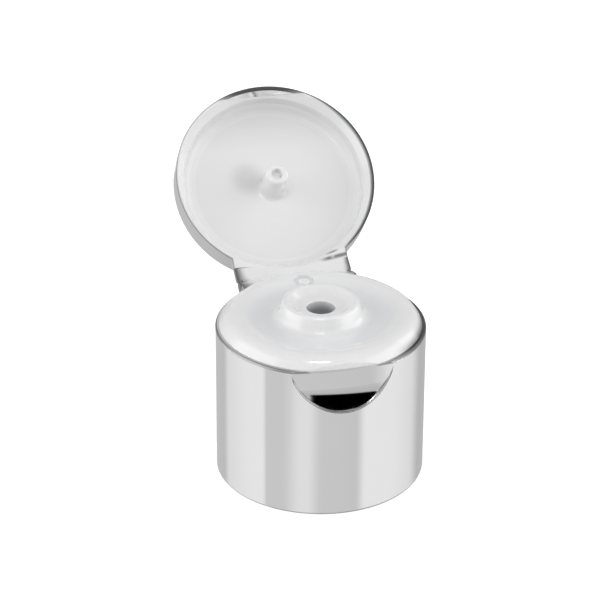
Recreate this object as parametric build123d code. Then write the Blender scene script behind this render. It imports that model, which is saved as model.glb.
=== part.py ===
from build123d import *
import math
import os

# Flip top cap for a 24 mm screw neck, standing on its skirt with the lid open.
# Millimetres, +Z up. The origin is the centre of the skirt's bottom rim, the
# thumb scoop faces -Y and the hinge lies at +Y.
#
# The cap is one white polypropylene moulding: skirt and deck, a thin hinge line,
# and the lid. It was silvered while shut, so only its outside is bright: what the
# shut lid covers stays white. The lid is drawn shut and then swung open.

# Skirt
neck_bore_radius = 12.2
skirt_wall = 1.6
skirt_height = 21.0
foot_edge_radius = 0.30
rim_edge_radius = 0.45
silver_thickness = 0.12

# Neck side of the skirt: a plain bore, a land ring and a plug seal under the deck
bore_step = 0.6
seal_to_bore_step = 0.1
deck_thickness = 1.2
land_ring_gap = 1.1
land_ring_width = 1.2
land_ring_length = 3.8
plug_seal_gap = 0.8
plug_seal_wall = 0.8
plug_seal_length = 5.1
plug_seal_lead_in = 0.45
plug_seal_foot_round = 0.6

# Deck, with heights above the rim of the skirt
rim_ledge = 0.5
shoulder_run = 1.15
shoulder_height = 1.5
shoulder_round = 1.6
crest_width = 1.55
crest_round = 3.0
dish_slope_width = 1.6
dish_height = 1.0
dish_round = 4.0

# Spout: a low turret with a dished top around the orifice
orifice_radius = 1.85
orifice_edge_round = 0.2
crater_floor_width = 1.35
crater_floor_slope = 0.15
crater_floor_round = 1.2
crater_depth = 0.85
crater_slope_width = 1.1
crater_edge_round = 0.5
spout_lip_width = 0.7
spout_edge_round = 0.45
spout_height = 3.25
spout_foot_spread = 0.65
spout_foot_round = 1.2

# Hollow under the spout, around the tube that carries the orifice down
spout_wall = 1.4
spout_hollow_foot_round = 0.4
spout_hollow_round = 0.5
spout_hollow_height = 1.35
orifice_tube_wall = 0.95
orifice_tube_round = 0.3
orifice_tube_depth = 0.9

# Gate mark on the deck, between spout and hinge
gate_setback = 0.94
gate_rise = 0.11
gate_pocket_radius = 1.35
gate_pip_radius = 0.75
gate_pocket_depth = 0.18
gate_pip_height = 0.38
gate_pip_round = 0.12

# Thumb scoop in the front of the skirt: a round cut whose floor runs out downwards
scoop_circle_radius = 6.85
scoop_circle_height = 1.05
scoop_depth = 1.05
scoop_edge_depth = 0.25
scoop_edge_round = 0.15
scoop_floor_radius = 34.0
scoop_run_out_radius = 6.0

# Lid, drawn shut, with heights above the rim of the skirt
spout_head_room = 0.2
lid_plate_thickness = 0.9
lid_edge_round = 0.9
shut_gap = 0.08
lip_clearance = 0.15
lip_wall = 1.25
lip_edge_round = 0.25
lid_wall_draft = 0.2
lid_corner_round = 1.25

# Sealing plug under the lid
plug_clearance = 0.1
plug_draft = 0.27
plug_stand_out = 0.3
plug_foot_round = 0.55
plug_tip_round = 0.35
plug_wall = 0.7
plug_bore_depth = 0.9
plug_bore_draft = 0.2

# Hinge, with its fold line behind and below the rim of the skirt
opening_angle = 138.1
fold_reach = 1.23
fold_drop = 0.76
bevel_reach = 1.05
hinge_half_width = 7.95
hinge_corner_round = 0.25
hinge_face_setback = 0.06
film_radius = 0.2
film_end_gap = 0.7
film_clearance = 0.05
hinge_lip = 0.2
hinge_taper_angle = 45.0
lid_strap_thickness = 0.8
block_overlap = 0.3

# How far cutting bodies reach past what they cut, and how closely a radius must match
beyond = 10.0
radius_match = 0.01

# Radii of the skirt and deck, worked out from the bore outwards and then back in
outer_radius = neck_bore_radius + skirt_wall
shoulder_foot_radius = outer_radius - rim_ledge
shoulder_top_radius = shoulder_foot_radius - shoulder_run
shoulder_slope = math.atan2(shoulder_height, shoulder_run)
crest_inner_radius = shoulder_top_radius - crest_width
dish_radius = crest_inner_radius - dish_slope_width
gate_distance = crest_inner_radius - gate_setback

# Radii and heights of the spout, worked out from the orifice outwards
crater_floor_radius = orifice_radius + crater_floor_width
crater_top_radius = crater_floor_radius + crater_slope_width
spout_top_radius = crater_top_radius + spout_lip_width
spout_foot_radius = spout_top_radius + spout_foot_spread
spout_hollow_radius = spout_foot_radius - spout_wall
orifice_tube_radius = orifice_radius + orifice_tube_wall
crater_floor_height = spout_height - crater_depth
orifice_height = crater_floor_height - crater_floor_slope

# Neck side, worked out from the bore inwards and from the deck down
upper_bore_radius = neck_bore_radius - bore_step
land_ring_outer_radius = upper_bore_radius - land_ring_gap
land_ring_inner_radius = land_ring_outer_radius - land_ring_width
plug_seal_outer_radius = land_ring_inner_radius - plug_seal_gap
plug_seal_inner_radius = plug_seal_outer_radius - plug_seal_wall
deck_underside = skirt_height + dish_height - deck_thickness
land_ring_end = deck_underside - land_ring_length
plug_seal_tip = deck_underside - plug_seal_length
neck_bore_depth = plug_seal_tip - seal_to_bore_step

# Thumb scoop, whose floor curves outwards from its run-out height to its bottom edge
scoop_floor_centre = scoop_floor_radius - outer_radius + scoop_depth
scoop_run_out_slope = math.acos(1 - (scoop_depth - scoop_edge_depth) / scoop_run_out_radius)
scoop_bottom = scoop_circle_height - scoop_circle_radius
scoop_run_out_height = scoop_bottom + scoop_run_out_radius * math.sin(scoop_run_out_slope)

# Lid and its plug, worked out from the spout that they close
lid_ceiling = spout_height + spout_head_room
lid_height = lid_ceiling + lid_plate_thickness
lip_inner_radius = outer_radius - lip_wall
plug_foot_radius = orifice_radius - plug_clearance
plug_tip_radius = plug_foot_radius - plug_draft
plug_bore_radius = plug_tip_radius - plug_wall
plug_reach = orifice_tube_depth + plug_stand_out

# Hinge, worked out from the skirt
fold_distance = outer_radius + fold_reach
fold_height = skirt_height - fold_drop
bevel_start = outer_radius - bevel_reach
hinge_rear = fold_distance - hinge_face_setback
taper_run = math.tan(math.radians(hinge_taper_angle))
taper_shift = math.tan(math.radians(hinge_taper_angle) / 2)
bevel_slope = fold_drop / (fold_distance - bevel_start)
strap_shift = math.sqrt(1 + bevel_slope**2) - bevel_slope
block_root = math.sqrt(outer_radius**2 - hinge_half_width**2) - block_overlap


def share_of_side(side, reach, other_reach):
    """Share of a rounding that its side has room for, beside the rounding at the side's other end."""
    return min(1.0, side.length / max(reach + other_reach, side.length))


def outline(corners):
    """Closed face through (x, y, radius) corners, each rounded by its radius as far as its sides allow."""
    points = [Vector(x, y) for x, y, _ in corners]
    count = len(corners)
    sides = [points[(i + 1) % count] - points[i] for i in range(count)]
    half_angles = [math.radians((-sides[i - 1]).get_angle(sides[i])) / 2 for i in range(count)]
    reaches = [corners[i][2] / math.tan(half_angles[i]) for i in range(count)]
    starts, ends, curves = [], [], []
    for i in range(count):
        room_before = share_of_side(sides[i - 1], reaches[i], reaches[i - 1])
        room_after = share_of_side(sides[i], reaches[i], reaches[(i + 1) % count])
        reach = reaches[i] * min(room_before, room_after)
        towards_last = -sides[i - 1].normalized()
        towards_next = sides[i].normalized()
        starts.append(points[i] + towards_last * reach)
        ends.append(points[i] + towards_next * reach)
        if reach > 0:
            bisector = (towards_last + towards_next).normalized()
            depth = reach * (1 - math.sin(half_angles[i])) / math.cos(half_angles[i])
            curves.append(ThreePointArc(starts[i], points[i] + bisector * depth, ends[i]))
    for i in range(count):
        start = starts[(i + 1) % count]
        if (start - ends[i]).length > radius_match * silver_thickness:
            curves.append(Line(ends[i], start))
    return make_face(Wire(curves))


def turned(corners):
    """Solid of revolution about Z from (radius, height, rounding) corners."""
    return revolve(Plane.XZ * outline(corners), Axis.Z)


def across(corners, half_width):
    """Prism along X, from -half_width to +half_width, of a (y, z, rounding) outline."""
    return extrude(Plane.YZ * outline(corners), half_width, both=True)


def plain_disc(radius, bottom, top):
    """Cylinder about Z between two heights."""
    return turned([(0, bottom, 0), (radius, bottom, 0), (radius, top, 0), (0, top, 0)])


def at_rim(corners):
    """Corners whose heights are counted from the rim of the skirt."""
    return [(across_or_out, skirt_height + height, radius) for across_or_out, height, radius in corners]


def hinge_plan(inset):
    """Upright prism that rounds the two rear corners of a hinge block."""
    half_width = hinge_half_width - inset
    rear = hinge_rear - inset
    corner = hinge_corner_round - inset
    plan = outline(
        [
            (-half_width, 0, 0),
            (half_width, 0, 0),
            (half_width, rear, corner),
            (-half_width, rear, corner),
        ]
    )
    return extrude(plan, skirt_height + beyond)


def scoop(inset):
    """Material taken out of the skirt for the thumb, wider all round by the inset."""
    radius = scoop_circle_radius + inset
    barrel = Rot(90, 0, 0) * Cylinder(radius, 2 * beyond)
    barrel = Pos(0, -outer_radius - beyond / 2, skirt_height + scoop_circle_height) * barrel
    floor_radius = scoop_floor_radius - inset
    run_out = scoop_run_out_radius + inset
    ring = turned(
        at_rim(
            [
                (floor_radius, scoop_run_out_height - run_out, run_out),
                (floor_radius + 2 * beyond, scoop_run_out_height - run_out, 0),
                (floor_radius + 2 * beyond, 2 * beyond, 0),
                (floor_radius, 2 * beyond, 0),
            ]
        )
    )
    return barrel & Pos(0, scoop_floor_centre, 0) * ring


def base_outside(inset):
    """Skirt and hinge block as a solid body, drawn in all round by the inset."""
    skirt_radius = outer_radius - inset
    rim = skirt_height - inset
    skirt = turned(
        [
            (0, 0, 0),
            (skirt_radius, 0, foot_edge_radius - inset),
            (skirt_radius, rim, rim_edge_radius - inset),
            (0, rim, 0),
        ]
    )
    rear = hinge_rear - inset
    taper_start = -fold_drop - hinge_lip + inset * taper_shift
    block = across(
        at_rim(
            [
                (0, taper_start - rear / taper_run, 0),
                (rear, taper_start, 0),
                (rear, 0, 0),
                (0, 0, 0),
            ]
        ),
        hinge_half_width - inset,
    )
    block = block & hinge_plan(inset)
    body = skirt + block - scoop(inset)
    return body - base_bevel()


def base_bevel():
    """Wedge above the sloping seat of the lid's hinge block, outside the shoulder."""
    wedge = across(
        at_rim(
            [
                (bevel_start, 0, 0),
                (fold_distance, -fold_drop, 0),
                (fold_distance + beyond, -fold_drop, 0),
                (fold_distance + beyond, beyond, 0),
                (bevel_start, beyond, 0),
            ]
        ),
        hinge_half_width + shut_gap,
    )
    return wedge - plain_disc(shoulder_foot_radius, 0, skirt_height + 2 * beyond)


def deck():
    """Shoulder, dished deck and spout above the rim, as a solid body."""
    body = turned(
        at_rim(
            [
                (0, -silver_thickness, 0),
                (shoulder_foot_radius, -silver_thickness, 0),
                (shoulder_foot_radius, 0, 0),
                (shoulder_top_radius, shoulder_height, shoulder_round),
                (crest_inner_radius, shoulder_height, crest_round),
                (dish_radius, dish_height, dish_round),
                (spout_foot_radius, dish_height, spout_foot_round),
                (spout_top_radius, spout_height, spout_edge_round),
                (crater_top_radius, spout_height, crater_edge_round),
                (crater_floor_radius, crater_floor_height, crater_floor_round),
                (orifice_radius, orifice_height, 0),
                (0, orifice_height, 0),
            ]
        )
    )
    return body - scoop(0)


def gate_mark(body):
    """Deck with the shallow ring and pip that the injection gate leaves."""
    pocket_floor = skirt_height + dish_height + gate_rise - gate_pocket_depth
    place = Pos(0, gate_distance, pocket_floor)
    upward = Align.CENTER, Align.CENTER, Align.MIN
    pocket = place * Cylinder(gate_pocket_radius, shoulder_height, align=upward)
    pip = place * Cylinder(gate_pip_radius, gate_pip_height, align=upward)
    pip = fillet(pip.edges().sort_by(Axis.Z)[-1:], gate_pip_round)
    return body - pocket + pip


def neck_space():
    """Air inside the skirt: neck bore, seal grooves and the hollow under the spout."""
    hollow_top = skirt_height + spout_hollow_height
    tube_end = skirt_height - orifice_tube_depth
    space = turned(
        [
            (0, -beyond, 0),
            (neck_bore_radius, -beyond, 0),
            (neck_bore_radius, neck_bore_depth, 0),
            (upper_bore_radius, neck_bore_depth + bore_step, 0),
            (upper_bore_radius, deck_underside, 0),
            (land_ring_outer_radius, deck_underside, 0),
            (land_ring_outer_radius, land_ring_end, 0),
            (land_ring_inner_radius, land_ring_end, 0),
            (land_ring_inner_radius, deck_underside, 0),
            (plug_seal_outer_radius, deck_underside, 0),
            (plug_seal_outer_radius, plug_seal_tip + plug_seal_lead_in, 0),
            (plug_seal_outer_radius - plug_seal_lead_in, plug_seal_tip, 0),
            (plug_seal_inner_radius, plug_seal_tip, 0),
            (plug_seal_inner_radius, deck_underside, plug_seal_foot_round),
            (spout_hollow_radius, deck_underside, spout_hollow_foot_round),
            (spout_hollow_radius, hollow_top, spout_hollow_round),
            (orifice_tube_radius, hollow_top, orifice_tube_round),
            (orifice_tube_radius, tube_end, 0),
            (0, tube_end, 0),
        ]
    )
    return space + plain_disc(orifice_radius, 0, skirt_height + 2 * beyond)


def film_bead(clearance):
    """Bar along the fold line that stands for the hinge film, wider all round by the clearance."""
    length = 2 * (hinge_half_width - film_end_gap + clearance)
    return Pos(0, fold_distance, fold_height) * Rot(0, 90, 0) * Cylinder(film_radius + clearance, length)


def base_moulding():
    """White moulding of the base: skirt, deck, spout and the hinge film's bead."""
    body = base_outside(silver_thickness) + deck()
    body = gate_mark(body)
    body = body - neck_space()
    circles = body.edges().filter_by(GeomType.CIRCLE)
    bore_edges = circles.filter_by(lambda edge: abs(edge.radius - orifice_radius) < radius_match)
    body = fillet(bore_edges.sort_by(Axis.Z)[-1:], orifice_edge_round)
    return body + film_bead(0)


def base_silver():
    """Silver layer on the outside of the base, scoop and hinge block included."""
    body = base_outside(0)
    foot_of_scoop = (0, -outer_radius, skirt_height + scoop_bottom)
    scoop_edge = body.edges().sort_by_distance(foot_of_scoop)[:1]
    body = fillet(scoop_edge, scoop_edge_round) - base_outside(silver_thickness)
    under_deck = plain_disc(shoulder_foot_radius, skirt_height - silver_thickness, skirt_height + beyond)
    return body - under_deck - film_bead(0)


def lid_outside(inset):
    """Lid and its hinge strap, with a blank for the plug, shut, drawn in all round by the inset."""
    lid_radius = outer_radius - inset
    top = lid_height - inset
    cover = turned(
        at_rim(
            [
                (0, shut_gap, 0),
                (lid_radius, shut_gap, 0),
                (lid_radius, top, lid_edge_round - inset),
                (0, top, 0),
            ]
        )
    )
    plug_blank = plain_disc(plug_foot_radius, skirt_height - plug_reach, skirt_height + lid_ceiling)
    rear = hinge_rear - inset
    strap_end = lid_strap_thickness - fold_drop - inset * strap_shift
    strap = across(
        at_rim(
            [
                (bevel_start, shut_gap, 0),
                (fold_distance, shut_gap - fold_drop, 0),
                (fold_distance, hinge_lip - fold_drop, 0),
                (rear, hinge_lip - fold_drop, 0),
                (rear, strap_end, 0),
                (block_root, strap_end + (rear - block_root) * bevel_slope, 0),
                (block_root, shut_gap, 0),
            ]
        ),
        hinge_half_width - inset,
    )
    return cover + plug_blank + (strap & hinge_plan(inset)) - film_bead(film_clearance)


def lid_space(raise_by, open_below):
    """Air inside the shut lid, around its plug, raised by a distance.

    With open_below it also takes all that lies under the mouth, out past the wall."""
    lip_foot_radius = shoulder_foot_radius + lip_clearance
    lip_inner_height = (lip_foot_radius - lip_inner_radius) * math.tan(shoulder_slope)
    mouth = shut_gap + raise_by
    widest = outer_radius + beyond if open_below else lip_foot_radius
    corners = [(0, -beyond, 0), (widest, -beyond, 0)]
    if open_below:
        corners.append((widest, mouth, 0))
    corners += [
        (lip_foot_radius, mouth, 0),
        (lip_inner_radius, mouth + lip_inner_height, lip_edge_round),
        (lip_inner_radius - lid_wall_draft, lid_ceiling + raise_by, lid_corner_round),
        (plug_foot_radius, lid_ceiling + raise_by, plug_foot_round),
        (plug_tip_radius, -plug_reach, plug_tip_round),
        (plug_bore_radius, -plug_reach, 0),
        (plug_bore_radius - plug_bore_draft, plug_bore_depth - plug_reach, 0),
        (0, plug_bore_depth - plug_reach, 0),
    ]
    return turned(at_rim(corners))


def lip_silver():
    """Crescent of silver under the lid's lip, where the shut lid overhangs the scoop."""
    wall = lid_outside(0) - lid_space(0, False)
    return wall & lid_space(silver_thickness, True) & scoop(0)


def swung_open(body):
    """The lid's body turned about the fold line from shut to open."""
    fold_line = Axis((0, fold_distance, fold_height), (1, 0, 0))
    return body.rotate(fold_line, -opening_angle)


def lid_moulding():
    """White moulding of the lid, with its sealing plug, open."""
    body = lid_outside(silver_thickness) - lid_space(0, False) - lip_silver()
    return swung_open(body)


def lid_silver():
    """Silver layer on the outside of the lid and under its lip, open."""
    body = lid_outside(0) - lid_outside(silver_thickness) - lid_space(0, False)
    return swung_open(body + lip_silver())


os.makedirs("parts", exist_ok=True)
nodes = {
    "base_moulding": base_moulding(),
    "base_silver_coat": base_silver(),
    "lid_moulding": lid_moulding(),
    "lid_silver_coat": lid_silver(),
}
for node_name, body in nodes.items():
    export_step(body, f"parts/{node_name}.step")
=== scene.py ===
import math
import bpy
from mathutils import Matrix, Vector


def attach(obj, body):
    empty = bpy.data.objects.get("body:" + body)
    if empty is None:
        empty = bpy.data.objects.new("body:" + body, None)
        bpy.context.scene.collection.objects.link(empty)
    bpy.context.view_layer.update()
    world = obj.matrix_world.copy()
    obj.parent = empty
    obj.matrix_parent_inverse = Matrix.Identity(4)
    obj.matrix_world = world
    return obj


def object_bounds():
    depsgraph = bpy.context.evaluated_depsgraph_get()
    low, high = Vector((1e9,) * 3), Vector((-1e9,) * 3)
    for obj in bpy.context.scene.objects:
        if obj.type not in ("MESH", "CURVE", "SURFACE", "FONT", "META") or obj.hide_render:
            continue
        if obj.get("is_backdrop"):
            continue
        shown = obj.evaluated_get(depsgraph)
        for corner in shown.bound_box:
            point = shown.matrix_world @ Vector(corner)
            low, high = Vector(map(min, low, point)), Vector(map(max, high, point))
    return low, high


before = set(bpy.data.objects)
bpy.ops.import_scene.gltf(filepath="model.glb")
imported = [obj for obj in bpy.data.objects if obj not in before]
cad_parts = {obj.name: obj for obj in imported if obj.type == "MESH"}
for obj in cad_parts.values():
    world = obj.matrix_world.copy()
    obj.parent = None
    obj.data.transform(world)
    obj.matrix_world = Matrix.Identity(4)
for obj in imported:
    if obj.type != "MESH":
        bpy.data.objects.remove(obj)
cad_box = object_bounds()

MM = 0.001
BASE = "base"

# Camera: where it stands around the part, and how far away
CAMERA_AZIMUTH = math.radians(-13.265)
CAMERA_ELEVATION = math.radians(27.666)
CAMERA_ROLL = math.radians(0.306)
CAMERA_DISTANCE = 359.8 * MM
CAMERA_TARGET = Vector((-2.80, 0.0, 24.60)) * MM
CAMERA_CLIP_END = 10.0
LENS = 166.1
SENSOR = 36.0

# Lamp, placed round the camera's direction
KEY_AZIMUTH = math.radians(-2.0)
KEY_ELEVATION = math.radians(56.0)
KEY_DISTANCE = 0.9
KEY_LENGTH = 0.26
KEY_WIDTH = 0.13
KEY_POWER = 2.0

# Floor: how far it reaches, how far under the part it lies, and its extra white to the camera
FLOOR_HALF = 0.6
FLOOR_DROP = 0.02 * MM
FLOOR_GLOW = 0.55

# Places on the shut cap that the materials follow
RIM_Z = 21.0 * MM
OUTER_RADIUS = 13.8 * MM
FOLD_Y = 15.03 * MM
FOLD_Z = 20.24 * MM
CREASE_Y = 12.75 * MM
PANEL_HALF_WIDTH = 7.95 * MM
SCOOP_CENTRE_Z = 22.05 * MM
SCOOP_RADIUS = 6.85 * MM
OPENING = math.radians(138.1)

# Thread inside the skirt: 24 mm neck finish, one and a half turns, right-handed
BORE_RADIUS = 12.2 * MM
THREAD_PITCH = 3.175 * MM
THREAD_TURNS = 1.5
THREAD_START = 3.2 * MM
THREAD_DEPTH = 0.95 * MM
THREAD_HALF_WIDTH = 1.15 * MM
THREAD_STEPS = 180
THREAD_FADE_STEPS = 14

# Section of the thread as shares of its depth and half width, from within the wall round the crest
THREAD_SECTION = [
    (-0.4, -1.0), (0.1, -1.0), (0.7, -0.62), (0.95, -0.36), (1.0, 0.0),
    (0.95, 0.36), (0.7, 0.62), (0.1, 1.0), (-0.4, 1.0),
]

# Studio below the horizon, as grey levels and degrees to the right of the camera: a table that
# is darker behind, a pale board at each side and a patch of light in front. Both edges of a
# board or patch are written as where it is gone and where it is full, the left edge first.
TABLE_FRONT, TABLE_LEFT, TABLE_RIGHT = 0.61, 0.54, 0.49
LEFT_FADE = (-80.0, -120.0)
RIGHT_FADE = (0.0, 140.0)
LEFT_BOARD = ((-134.0, -119.0), (-60.0, -67.0))
RIGHT_BOARD = ((39.0, 53.0), (142.0, 116.0))
FRONT_PATCH = ((-44.0, -20.0), (3.0, -15.0))
FRONT_PATCH_LEVEL = 0.785

# Level of the boards at the camera's end and at the far end, and where it changes, either way
BOARD_NEAR, BOARD_FAR = 0.845, 0.755
BOARD_FADE = (80.0, 125.0)

# White card from its right edge to straight behind
BACK_CARD_EDGE = (-165.0, -170.0)
BACK_CARD_LEVEL = 0.88

# Height over which the table gives way to what stands above it, and the soft boxes there
TABLE_EDGE = (-13.0, -10.0)
WINDOW_LEVEL = 2.1


class Nodes:
    """Node tree of a material or world, with short calls to add and link nodes."""

    def __init__(self, owner):
        owner.use_nodes = True
        self.tree = owner.node_tree
        self.tree.nodes.clear()

    def add(self, kind, **settings):
        node = self.tree.nodes.new(kind)
        for name, value in settings.items():
            setattr(node, name, value)
        return node

    def feed(self, socket, value):
        """Links another node's output to a socket, or sets the socket's own value."""
        if isinstance(value, bpy.types.NodeSocket):
            self.tree.links.new(value, socket)
        else:
            socket.default_value = value

    def math(self, operation, *values):
        node = self.add("ShaderNodeMath", operation=operation)
        for socket, value in zip(node.inputs, values):
            self.feed(socket, value)
        return node.outputs[0]

    def product(self, first, *others):
        """All the values multiplied."""
        for other in others:
            first = self.math("MULTIPLY", first, other)
        return first

    def largest(self, first, *others):
        """The largest of the values."""
        for other in others:
            first = self.math("MAXIMUM", first, other)
        return first

    def distance(self, across, along):
        """Distance from the origin of a plane."""
        square = self.math("MULTIPLY", along, along)
        return self.math("SQRT", self.math("MULTIPLY_ADD", across, across, square))

    def step(self, value, start, end):
        """Smooth step of a value: 0 at start and 1 at end."""
        node = self.add("ShaderNodeMapRange", interpolation_type="SMOOTHSTEP")
        for name, item in (("Value", value), ("From Min", start), ("From Max", end)):
            self.feed(node.inputs[name], item)
        return node.outputs["Result"]

    def band(self, value, start, end, soft):
        """1 between start and end and 0 outside, with edges twice as wide as soft."""
        rise = self.step(value, start - soft, start + soft)
        fall = self.step(value, end + soft, end - soft)
        return self.product(rise, fall)

    def stretch(self, value, begins, ends):
        """1 between two smooth steps and 0 outside them."""
        return self.product(self.step(value, *begins), self.step(value, *ends))

    def noise(self, coordinates, scale, detail=2.0):
        node = self.add("ShaderNodeTexNoise")
        self.feed(node.inputs["Vector"], coordinates)
        self.feed(node.inputs["Scale"], scale)
        self.feed(node.inputs["Detail"], detail)
        return node.outputs["Fac"]

    def bump(self, height, distance, strength):
        node = self.add("ShaderNodeBump")
        self.feed(node.inputs["Height"], height)
        self.feed(node.inputs["Distance"], distance)
        self.feed(node.inputs["Strength"], strength)
        return node.outputs["Normal"]

    def mix_colour(self, share, first, second):
        node = self.add("ShaderNodeMix", data_type="RGBA")
        self.feed(node.inputs[0], share)
        self.feed(node.inputs[6], first)
        self.feed(node.inputs[7], second)
        return node.outputs[2]

    def split(self, vector):
        """The three parts of a vector."""
        node = self.add("ShaderNodeSeparateXYZ")
        self.feed(node.inputs[0], vector)
        return node.outputs

    def show(self, surface, kind="ShaderNodeOutputMaterial"):
        """Links a shader to the tree's output."""
        self.feed(self.add(kind).inputs["Surface"], surface)


def grey(level, blue=0.0):
    return (level, level, level + blue, 1.0)


def as_shut(nodes, place, swung):
    """Place on the shut cap, in metres: the lid's points are turned back about the fold line."""
    if not swung:
        return place
    turn = nodes.add("ShaderNodeVectorRotate", rotation_type="X_AXIS")
    nodes.feed(turn.inputs["Vector"], place)
    nodes.feed(turn.inputs["Center"], (0.0, FOLD_Y, FOLD_Z))
    nodes.feed(turn.inputs["Angle"], OPENING)
    return turn.outputs[0]


def crease_slit_shade(nodes, place, x, y):
    """Painted shade in thin dark slits along the crease between the lid and its strap, at the left
    and right.
    """
    thin = nodes.band(y, CREASE_Y - 0.06 * MM, CREASE_Y + 0.10 * MM, 0.05 * MM)
    left = nodes.product(thin, nodes.step(x, -5.0 * MM, -8.2 * MM))
    past = nodes.math("MAXIMUM", nodes.math("SUBTRACT", x, 4.5 * MM), 0.0)
    rising = nodes.math("MULTIPLY_ADD", past, 0.16, y)
    wide = nodes.band(rising, CREASE_Y - 0.28 * MM, CREASE_Y + 0.25 * MM, 0.2 * MM)
    wide = nodes.product(wide, nodes.step(x, 3.6 * MM, 5.4 * MM))
    short = nodes.band(rising, CREASE_Y - 1.15 * MM, CREASE_Y - 0.8 * MM, 0.2 * MM)
    short = nodes.product(short, nodes.band(x, 5.4 * MM, 6.7 * MM, 0.5 * MM))
    patchy = nodes.step(nodes.noise(place, 700.0), 0.15, 0.55)
    right = nodes.product(nodes.largest(wide, short), patchy, 0.8)
    return nodes.largest(left, right)


def overspray_and_painted_dark(nodes, place, x, y, swung):
    """Share of painted near black along the hinge panel's edges, where silver crept round while
    the shut cap was sprayed: its dark reflection and the shade there are painted, and on the lid
    the crease slits' painted shade joins it.
    """
    # Way along the panel: 0 at the lid's crease, 1 at the fold, 2 at the deck
    run = nodes.math("DIVIDE", nodes.math("SUBTRACT", y, CREASE_Y), FOLD_Y - CREASE_Y)
    panel_start, panel_full = CREASE_Y - 0.15 * MM, CREASE_Y + 0.05 * MM
    if not swung:
        run = nodes.math("SUBTRACT", 2.0, run)
        panel_start, panel_full = CREASE_Y - 2.2 * MM, CREASE_Y - 1.2 * MM
    run = nodes.math("MINIMUM", nodes.math("MAXIMUM", run, 0.0), 2.0)
    wobble = nodes.math("MULTIPLY_ADD", nodes.noise(place, 900.0), 0.5, 0.75)
    from_edge = nodes.math("SUBTRACT", PANEL_HALF_WIDTH, nodes.math("ABSOLUTE", x))
    left = nodes.step(x, 1 * MM, -1 * MM)
    width = nodes.math("MULTIPLY_ADD", left, 0.7 * MM, 0.9 * MM)
    width = nodes.product(width, nodes.math("MULTIPLY_ADD", run, 0.35, 0.75), wobble)
    # Painted near black, fading in from the panel's edges and widest towards the deck
    edge = nodes.step(nodes.math("DIVIDE", from_edge, width), 1.25, -0.1)
    haze_and_painted_dark = nodes.product(edge, nodes.step(y, panel_start, panel_full))
    if swung:
        haze_and_painted_dark = nodes.largest(haze_and_painted_dark, crease_slit_shade(nodes, place, x, y))
    return haze_and_painted_dark


def lid_painted_shade(nodes, colour, x, y, z, radius):
    """Painted shade on the lid's plate towards its tip, the plug's painted shadow on the plate,
    and the painted dark reflection on the edge of its mouth.
    """
    ceiling = nodes.step(z, 23.8 * MM, 24.3 * MM)
    # Painted shade, growing towards the lid's tip
    tip_shade = nodes.product(ceiling, nodes.step(y, -5.0 * MM, -13.0 * MM))
    colour = nodes.mix_colour(tip_shade, colour, grey(0.68, 0.004))
    # Painted shadow of the plug, a soft round patch on the plate beside it
    from_plug_shadow = nodes.distance(nodes.math("ADD", x, 3.2 * MM), nodes.math("ADD", y, 1.6 * MM))
    patch = nodes.product(ceiling, nodes.step(from_plug_shadow, 3.2 * MM, 0.8 * MM))
    colour = nodes.mix_colour(patch, colour, grey(0.70, 0.004))
    # The mouth's edge gets a painted dark reflection, darkest at the right, where more of it is
    # dark
    reach = nodes.math("MULTIPLY_ADD", nodes.step(x, 4 * MM, 13 * MM), 0.4 * MM, 0.08 * MM)
    inward = nodes.math("DIVIDE", nodes.math("SUBTRACT", OUTER_RADIUS, radius), reach)
    mouth = nodes.product(
        nodes.step(z, RIM_Z + 0.40 * MM, RIM_Z + 0.25 * MM),
        nodes.step(inward, 1.6, 0.4),
        nodes.step(radius, OUTER_RADIUS + 0.1 * MM, OUTER_RADIUS),
        nodes.step(y, 11.5 * MM, 10.5 * MM),
    )
    return colour, mouth


def base_painted_shade(nodes, colour, x, y, z, radius):
    """Painted shade: a darker bluish dish on the deck and a dark orifice; and the painted dark
    reflection on the foot of the shoulder at the right.
    """
    # Painted shade in the dish of the deck, tinted blue
    dish = nodes.band(radius, 6.6 * MM, 9.2 * MM, 1.0 * MM)
    colour = nodes.mix_colour(dish, colour, (0.77, 0.785, 0.795, 1.0))
    # Painted shade down the orifice
    within = nodes.step(radius, 2.6 * MM, 2.2 * MM)
    orifice = nodes.product(within, nodes.step(z, 23.3 * MM, 21.7 * MM))
    colour = nodes.mix_colour(orifice, colour, (0.38, 0.39, 0.40, 1.0))
    # Painted dark reflection on the shoulder's foot at the right
    foot = nodes.step(radius, 12.3 * MM, 13.35 * MM)
    on_right = nodes.step(x, 6.5 * MM, 11 * MM)
    foot = nodes.product(foot, foot, on_right, nodes.step(y, 12.5 * MM, 11.5 * MM))
    return colour, foot


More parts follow.
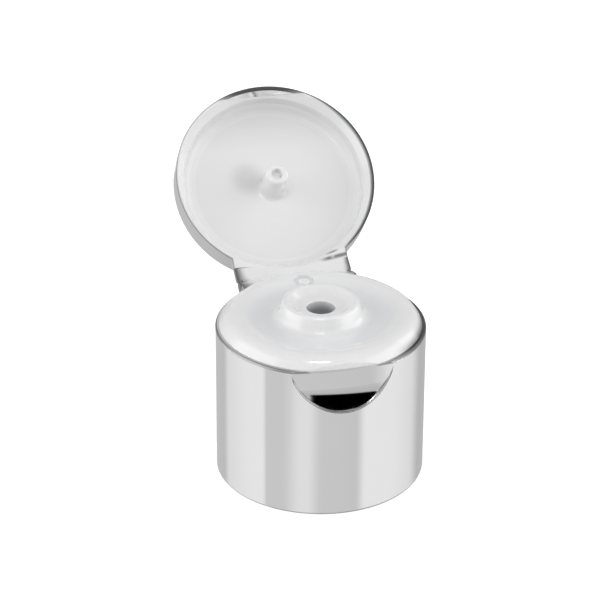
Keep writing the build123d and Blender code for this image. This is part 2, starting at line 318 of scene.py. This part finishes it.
def white_plastic(name, swung):
    """Glossy white polypropylene, slightly cloudy and uneven, with painted shade, a painted shadow
    and painted dark reflections on the hinge panel, deck, orifice and lid.
    """
    material = bpy.data.materials.new(name)
    nodes = Nodes(material)
    place = nodes.add("ShaderNodeTexCoord").outputs["Object"]
    x, y, z = nodes.split(as_shut(nodes, place, swung))
    radius = nodes.distance(x, y)
    cloud = nodes.noise(place, 160.0)
    colour = nodes.mix_colour(cloud, grey(0.81, 0.006), grey(0.84, 0.004))
    painted_shade = lid_painted_shade if swung else base_painted_shade
    colour, dark = painted_shade(nodes, colour, x, y, z, radius)
    # Painted near black on the hinge panel's edges and crease, the lid's mouth edge and the
    # shoulder's foot at the right
    haze_and_painted_dark = nodes.largest(overspray_and_painted_dark(nodes, place, x, y, swung), dark)
    colour = nodes.mix_colour(nodes.product(haze_and_painted_dark, 0.95), colour, grey(0.03))
    roughness = nodes.math("MULTIPLY_ADD", nodes.noise(place, 900.0), 0.06, 0.08)
    if swung:
        corner = nodes.band(radius, 10.8 * MM, 12.4 * MM, 0.3 * MM)
        corner = nodes.product(corner, nodes.step(z, 23.2 * MM, 23.8 * MM))
        roughness = nodes.math("MULTIPLY_ADD", corner, 0.4, roughness)
    shader = nodes.add("ShaderNodeBsdfPrincipled")
    nodes.feed(shader.inputs["Base Color"], colour)
    nodes.feed(shader.inputs["IOR"], 1.49)
    nodes.feed(shader.inputs["Roughness"], roughness)
    nodes.feed(shader.inputs["Coat Weight"], 0.15 if swung else 0.35)
    nodes.feed(shader.inputs["Coat Roughness"], 0.05)
    nodes.feed(shader.inputs["Subsurface Weight"], 0.3)
    nodes.feed(shader.inputs["Subsurface Radius"], (1.0, 1.0, 1.0))
    nodes.feed(shader.inputs["Subsurface Scale"], 0.6 * MM)
    nodes.feed(shader.inputs["Normal"], nodes.bump(nodes.noise(place, 260.0), 0.012 * MM, 0.6))
    nodes.show(shader.outputs[0])
    return material


def lid_edges(nodes, x, y, z, radius):
    """Where the lid's silver is rougher and painted dark, and its colour there: painted dark
    reflection on the mouth's edge, darkest at the right, and on its tip.
    """
    dull_and_painted_dark = nodes.step(z, RIM_Z + 0.35 * MM, RIM_Z + 0.25 * MM)
    # Painted dark reflection, darker towards the right and darkest at the tip
    edge = nodes.mix_colour(nodes.step(x, 4 * MM, 12.5 * MM), grey(0.42), grey(0.10))
    tip = nodes.step(y, -12.2 * MM, -13.1 * MM)
    tip = nodes.product(tip, nodes.step(radius, 12.9 * MM, 13.3 * MM))
    return dull_and_painted_dark, nodes.mix_colour(tip, edge, grey(0.12))


def base_edges(nodes, x, y, z, radius):
    """Where the base's silver is rougher and painted dark, and its colour there: painted
    reflection on the rim, foot, scoop outline and right side, and painted near black on the hinge
    block.
    """
    side = nodes.step(x, 5 * MM, 10.5 * MM)
    # Foot of the skirt: a thin painted dark line for the floor's shadow that it mirrors
    foot = nodes.step(z, 0.3 * MM, 0.1 * MM)
    rim = nodes.step(z, RIM_Z - 0.42 * MM, RIM_Z - 0.34 * MM)
    side_rim = nodes.product(side, nodes.step(z, RIM_Z - 0.52 * MM, RIM_Z - 0.44 * MM))
    behind = nodes.step(y, 11.6 * MM, 12.8 * MM)
    block = nodes.product(behind, nodes.step(z, RIM_Z - 3.0 * MM, RIM_Z - 0.8 * MM))
    from_centre = nodes.distance(x, nodes.math("SUBTRACT", z, SCOOP_CENTRE_Z))
    outline = nodes.product(
        nodes.band(from_centre, SCOOP_RADIUS - 0.03 * MM, SCOOP_RADIUS + 0.14 * MM, 0.03 * MM),
        nodes.step(y, -9 * MM, -10 * MM),
        nodes.step(z, RIM_Z - 0.5 * MM, RIM_Z - 1.5 * MM),
    )
    dull_and_painted_dark = nodes.largest(rim, foot, side_rim, outline, nodes.product(block, 0.85))

    # Painted reflection on the rim: grey under its edge, bright above it and in the scoop, crossed
    # by a thin painted dark line, also used at the foot
    under = nodes.mix_colour(nodes.step(y, -11.5 * MM, -13.0 * MM), grey(0.33), grey(0.6))
    above = nodes.step(z, RIM_Z - 0.10 * MM, RIM_Z - 0.04 * MM)
    edge = nodes.mix_colour(above, under, grey(0.9))
    in_scoop = nodes.step(radius, 13.3 * MM, 13.15 * MM)
    in_scoop = nodes.product(in_scoop, nodes.step(y, -8 * MM, -10 * MM))
    edge = nodes.mix_colour(in_scoop, edge, grey(0.9))
    line = nodes.band(z, RIM_Z - 0.14 * MM, RIM_Z - 0.09 * MM, 0.03 * MM)
    line_tone = nodes.mix_colour(in_scoop, grey(0.28), grey(0.5))
    edge = nodes.mix_colour(nodes.largest(line, foot), edge, line_tone)
    # Painted dark line along the scoop's outline
    cut = nodes.mix_colour(nodes.step(x, -4.5 * MM, -1.5 * MM), grey(0.46), grey(0.34))
    cut = nodes.mix_colour(nodes.step(x, 3.0 * MM, 4.8 * MM), cut, grey(0.5))
    edge = nodes.mix_colour(outline, edge, cut)
    # Painted near black on the hinge block, for the shade and dark reflection there
    edge = nodes.mix_colour(block, edge, grey(0.06))
    # Painted dark reflection along the rim at the right
    right = nodes.product(side, nodes.step(z, RIM_Z - 0.40 * MM, RIM_Z - 0.32 * MM))
    return dull_and_painted_dark, nodes.mix_colour(right, edge, grey(0.10))


def silver_coat(name, swung):
    """Bright metallised layer that mirrors the studio; rougher along its edges, where dark
    reflection and shade are painted into its colour.
    """
    material = bpy.data.materials.new(name)
    nodes = Nodes(material)
    place = nodes.add("ShaderNodeTexCoord").outputs["Object"]
    x, y, z = nodes.split(as_shut(nodes, place, swung))
    edges = lid_edges if swung else base_edges
    dull_and_painted_dark, edge = edges(nodes, x, y, z, nodes.distance(x, y))
    bright = nodes.mix_colour(nodes.noise(place, 120.0), grey(0.9), grey(0.93))
    roughness = nodes.math("MULTIPLY_ADD", nodes.noise(place, 700.0), 0.04, 0.03)
    roughness = nodes.math("MULTIPLY_ADD", dull_and_painted_dark, 0.3, roughness)
    uneven = nodes.bump(nodes.noise(place, 200.0, 0.0), 0.01 * MM, 0.5)
    shader = nodes.add("ShaderNodeBsdfPrincipled")
    nodes.feed(shader.inputs["Base Color"], nodes.mix_colour(dull_and_painted_dark, bright, edge))
    nodes.feed(shader.inputs["Metallic"], 1.0)
    nodes.feed(shader.inputs["Roughness"], roughness)
    nodes.feed(shader.inputs["Normal"], uneven)
    nodes.show(shader.outputs[0])
    return material


def dress(node, material):
    """Gives a CAD node its material."""
    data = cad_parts[node].data
    data.materials.clear()
    data.materials.append(material)


def thread(material):
    """Rounded thread bead on the wall of the bore, fading out at both ends."""
    points = []
    for step in range(THREAD_STEPS + 1):
        along_thread = step / THREAD_STEPS
        turn = 2 * math.pi * THREAD_TURNS * along_thread
        middle = THREAD_START + THREAD_PITCH * THREAD_TURNS * along_thread
        from_end = min(step + 1, THREAD_STEPS + 1 - step) / THREAD_FADE_STEPS
        ease = math.sin(0.5 * math.pi * min(1.0, from_end))
        for inward, upward in THREAD_SECTION:
            radius = BORE_RADIUS - inward * THREAD_DEPTH * (ease if inward > 0 else 1.0)
            height = middle + upward * THREAD_HALF_WIDTH * ease
            points.append((radius * math.cos(turn), radius * math.sin(turn), height))
    count = len(THREAD_SECTION)
    faces = []
    for step in range(THREAD_STEPS):
        for corner in range(count):
            here = step * count + corner
            beside = step * count + (corner + 1) % count
            faces.append((here, beside, beside + count, here + count))
    faces.append(tuple(range(count - 1, -1, -1)))
    faces.append(tuple(range(len(points) - count, len(points))))
    mesh = bpy.data.meshes.new("neck_thread")
    mesh.from_pydata(points, [], faces)
    mesh.validate()
    mesh.polygons.foreach_set("use_smooth", [True] * len(mesh.polygons))
    mesh.materials.append(material)
    obj = bpy.data.objects.new("neck_thread", mesh)
    bpy.context.scene.collection.objects.link(obj)
    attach(obj, BASE)


def table(nodes, degrees, height):
    """Studio below the horizon, which the skirt mirrors: darker straight below."""
    left = nodes.step(degrees, *LEFT_FADE)
    tone = nodes.mix_colour(left, grey(TABLE_FRONT), grey(TABLE_LEFT))
    tone = nodes.mix_colour(nodes.step(degrees, *RIGHT_FADE), tone, grey(TABLE_RIGHT))
    patch = nodes.stretch(degrees, *FRONT_PATCH)
    tone = nodes.mix_colour(patch, tone, grey(FRONT_PATCH_LEVEL))
    fade = nodes.step(nodes.math("ABSOLUTE", degrees), *BOARD_FADE)
    board = nodes.mix_colour(fade, grey(BOARD_NEAR), grey(BOARD_FAR))
    for place in (LEFT_BOARD, RIGHT_BOARD):
        tone = nodes.mix_colour(nodes.stretch(degrees, *place), tone, board)
    behind = nodes.step(degrees, *BACK_CARD_EDGE)
    tone = nodes.mix_colour(behind, tone, grey(BACK_CARD_LEVEL))
    tone = nodes.mix_colour(nodes.step(height, -34.0, -85.0), tone, grey(0.42))
    near_card = nodes.product(
        nodes.band(degrees, 4.0, 44.0, 3.0), nodes.step(height, -31.0, -19.0)
    )
    return nodes.mix_colour(near_card, tone, grey(0.50))


def black_card(nodes, degrees, height):
    """Black card that the thumb scoop mirrors: sloping below and domed above."""
    across = nodes.math("ABSOLUTE", nodes.math("SUBTRACT", degrees, 26.0))
    bottom = nodes.math("MULTIPLY_ADD", degrees, 0.26, -20.6)
    dome = nodes.math("MULTIPLY_ADD", nodes.math("MULTIPLY", across, across), -0.11, 26.0)
    return nodes.product(
        nodes.step(across, 15.0, 13.5),
        nodes.step(nodes.math("SUBTRACT", height, bottom), -2.0, 2.0),
        nodes.step(nodes.math("SUBTRACT", dome, height), -1.5, 1.5),
    )


def studio_world():
    """White background, and the soft boxes and dark gaps of the studio as the part sees them."""
    world = bpy.data.worlds.new("studio")
    bpy.context.scene.world = world
    nodes = Nodes(world)
    turn = nodes.add("ShaderNodeVectorRotate", rotation_type="Z_AXIS")
    nodes.feed(turn.inputs["Vector"], nodes.add("ShaderNodeTexCoord").outputs["Generated"])
    nodes.feed(turn.inputs["Angle"], -CAMERA_AZIMUTH)
    x, y, z = nodes.split(turn.outputs[0])
    azimuth = nodes.math("ARCTAN2", x, nodes.math("MULTIPLY", y, -1.0))
    degrees = nodes.math("DEGREES", azimuth)
    height = nodes.math("DEGREES", nodes.math("ARCSINE", z))

    def window(azimuths, heights, azimuth_soft, height_soft):
        """Share of a soft box between two azimuths and two heights, in degrees."""
        across = nodes.band(degrees, *azimuths, azimuth_soft)
        return nodes.product(across, nodes.band(height, *heights, height_soft))

    sky = nodes.mix_colour(nodes.step(height, 43.0, 53.0), grey(0.5), grey(0.37))
    front = window((-52.0, 57.0), (28.0, 46.0), 4.0, 6.0)
    sky = nodes.mix_colour(front, sky, grey(0.78))
    left = window((-113.0, -54.0), (-11.0, 42.0), 6.0, 3.0)
    sky = nodes.mix_colour(left, sky, grey(WINDOW_LEVEL))
    right = window((57.0, 130.0), (-10.0, 40.0), 4.0, 3.0)
    sky = nodes.mix_colour(right, sky, grey(WINDOW_LEVEL))
    sky = nodes.mix_colour(nodes.band(degrees, 40.5, 57.0, 1.5), sky, grey(0.84))
    below = table(nodes, degrees, height)
    sky = nodes.mix_colour(nodes.step(height, *TABLE_EDGE), below, sky)
    sky = nodes.mix_colour(black_card(nodes, degrees, height), sky, grey(0.0))

    studio = nodes.add("ShaderNodeBackground")
    nodes.feed(studio.inputs["Color"], sky)
    white = nodes.add("ShaderNodeBackground")
    nodes.feed(white.inputs["Color"], grey(1.0))
    seen = nodes.add("ShaderNodeLightPath").outputs["Is Camera Ray"]
    mix = nodes.add("ShaderNodeMixShader")
    nodes.feed(mix.inputs[0], seen)
    nodes.feed(mix.inputs[1], studio.outputs[0])
    nodes.feed(mix.inputs[2], white.outputs[0])
    nodes.show(mix.outputs[0], "ShaderNodeOutputWorld")


def key_strip():
    """Narrow lamp high in front: the small highlights on the deck come from it."""
    data = bpy.data.lights.new("key_strip", "AREA")
    data.shape = "RECTANGLE"
    data.size = KEY_LENGTH
    data.size_y = KEY_WIDTH
    data.energy = KEY_POWER
    obj = bpy.data.objects.new("key_strip", data)
    rim = Matrix.Translation((0, 0, RIM_Z))
    around = Matrix.Rotation(CAMERA_AZIMUTH + KEY_AZIMUTH, 4, "Z")
    tilt = Matrix.Rotation(math.pi / 2 - KEY_ELEVATION, 4, "X")
    obj.matrix_world = rim @ around @ tilt @ Matrix.Translation((0, 0, KEY_DISTANCE))
    bpy.context.scene.collection.objects.link(obj)


def floor():
    """Plain white floor that keeps the part's shadow."""
    mesh = bpy.data.meshes.new("floor")
    signs = [(-1, -1), (1, -1), (1, 1), (-1, 1)]
    corners = [(x * FLOOR_HALF, y * FLOOR_HALF, 0) for x, y in signs]
    mesh.from_pydata(corners, [], [(0, 1, 2, 3)])
    obj = bpy.data.objects.new("floor", mesh)
    obj.location.z = -FLOOR_DROP
    bpy.context.scene.collection.objects.link(obj)
    material = bpy.data.materials.new("floor")
    nodes = Nodes(material)
    matt = nodes.add("ShaderNodeBsdfDiffuse")
    nodes.feed(matt.inputs["Color"], grey(0.8))
    glow = nodes.add("ShaderNodeEmission")
    nodes.feed(glow.inputs["Color"], grey(1.0))
    seen = nodes.add("ShaderNodeLightPath").outputs["Is Camera Ray"]
    nodes.feed(glow.inputs["Strength"], nodes.math("MULTIPLY", seen, FLOOR_GLOW))
    both = nodes.add("ShaderNodeAddShader")
    nodes.feed(both.inputs[0], matt.outputs[0])
    nodes.feed(both.inputs[1], glow.outputs[0])
    nodes.show(both.outputs[0])
    mesh.materials.append(material)
    obj.visible_glossy = False
    obj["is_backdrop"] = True


def camera():
    """Camera at the photograph's angle."""
    data = bpy.data.cameras.new("camera")
    data.lens = LENS
    data.sensor_width = SENSOR
    data.clip_end = CAMERA_CLIP_END
    obj = bpy.data.objects.new("camera", data)
    around = Matrix.Rotation(CAMERA_AZIMUTH, 4, "Z")
    tilt = Matrix.Rotation(math.pi / 2 - CAMERA_ELEVATION, 4, "X")
    roll = Matrix.Rotation(CAMERA_ROLL, 4, "Z")
    back = Matrix.Translation((0, 0, CAMERA_DISTANCE))
    obj.matrix_world = Matrix.Translation(CAMERA_TARGET) @ around @ tilt @ roll @ back
    bpy.context.scene.collection.objects.link(obj)
    bpy.context.scene.camera = obj


base_plastic = white_plastic("white_plastic_base", False)
dress("base_moulding", base_plastic)
thread(base_plastic)
dress("lid_moulding", white_plastic("white_plastic_lid", True))
dress("base_silver_coat", silver_coat("silver_coat_base", False))
dress("lid_silver_coat", silver_coat("silver_coat_lid", True))
studio_world()
key_strip()
floor()
camera()
bpy.context.scene.view_settings.view_transform = "Standard"

sizes = {"cad": cad_box, "visual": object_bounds()}
sizes = {name: [[float(x) for x in corner] for corner in box] for name, box in sizes.items()}
